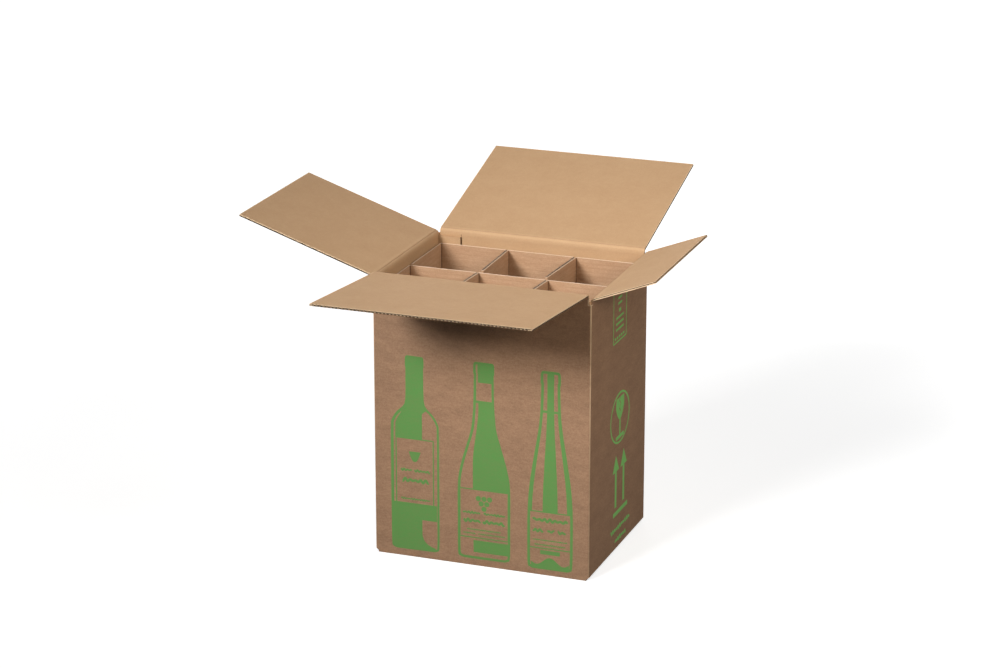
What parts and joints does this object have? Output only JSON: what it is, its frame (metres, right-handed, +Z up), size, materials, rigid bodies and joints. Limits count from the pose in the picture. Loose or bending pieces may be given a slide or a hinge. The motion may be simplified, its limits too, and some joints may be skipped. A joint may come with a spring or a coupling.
{
  "type": "bottle shipping carton",
  "caption": "Upright corrugated shipping carton for wine bottles, open at the top, with hinged flaps and folded cell dividers inside.",
  "frame": {"origin": "on the underside of the carton, under the middle of its footprint", "axes": "+X to the right along the printed front, +Y from the printed front to the rear, +Z up"},
  "size_m": [0.6107, 0.7015, 0.4787],
  "materials": {
    "carton_board": "matt kraft liner",
    "divider_board": "matt kraft liner"
  },
  "bodies": {
    "carton": {"carton_body": "carton_board", "front_divider": "divider_board", "rear_divider": "divider_board"},
    "front_top_flap": {"front_flap": "carton_board"},
    "rear_top_flap": {"rear_flap": "carton_board"},
    "left_top_flap": {"left_flap": "carton_board"},
    "right_top_flap": {"right_flap": "carton_board"}
  },
  "joints": [
    {"name": "front_flap_crease", "type": "hinge", "parent": "carton", "child": "front_top_flap", "pos_m": [0, -0.12412, 0.4128], "axis": [-1, 0, 0], "range_deg": [-95, 175]},
    {"name": "rear_flap_crease", "type": "hinge", "parent": "carton", "child": "rear_top_flap", "pos_m": [0, 0.12412, 0.4094], "axis": [1, 0, 0], "range_deg": [-106.1, 163.9]},
    {"name": "left_flap_crease", "type": "hinge", "parent": "carton", "child": "left_top_flap", "pos_m": [-0.16012, 0, 0.406], "axis": [0, 1, 0], "range_deg": [-108.5, 161.5]},
    {"name": "right_flap_crease", "type": "hinge", "parent": "carton", "child": "right_top_flap", "pos_m": [0.16012, 0, 0.406], "axis": [0, -1, 0], "range_deg": [-111.2, 158.8]}
  ]
}
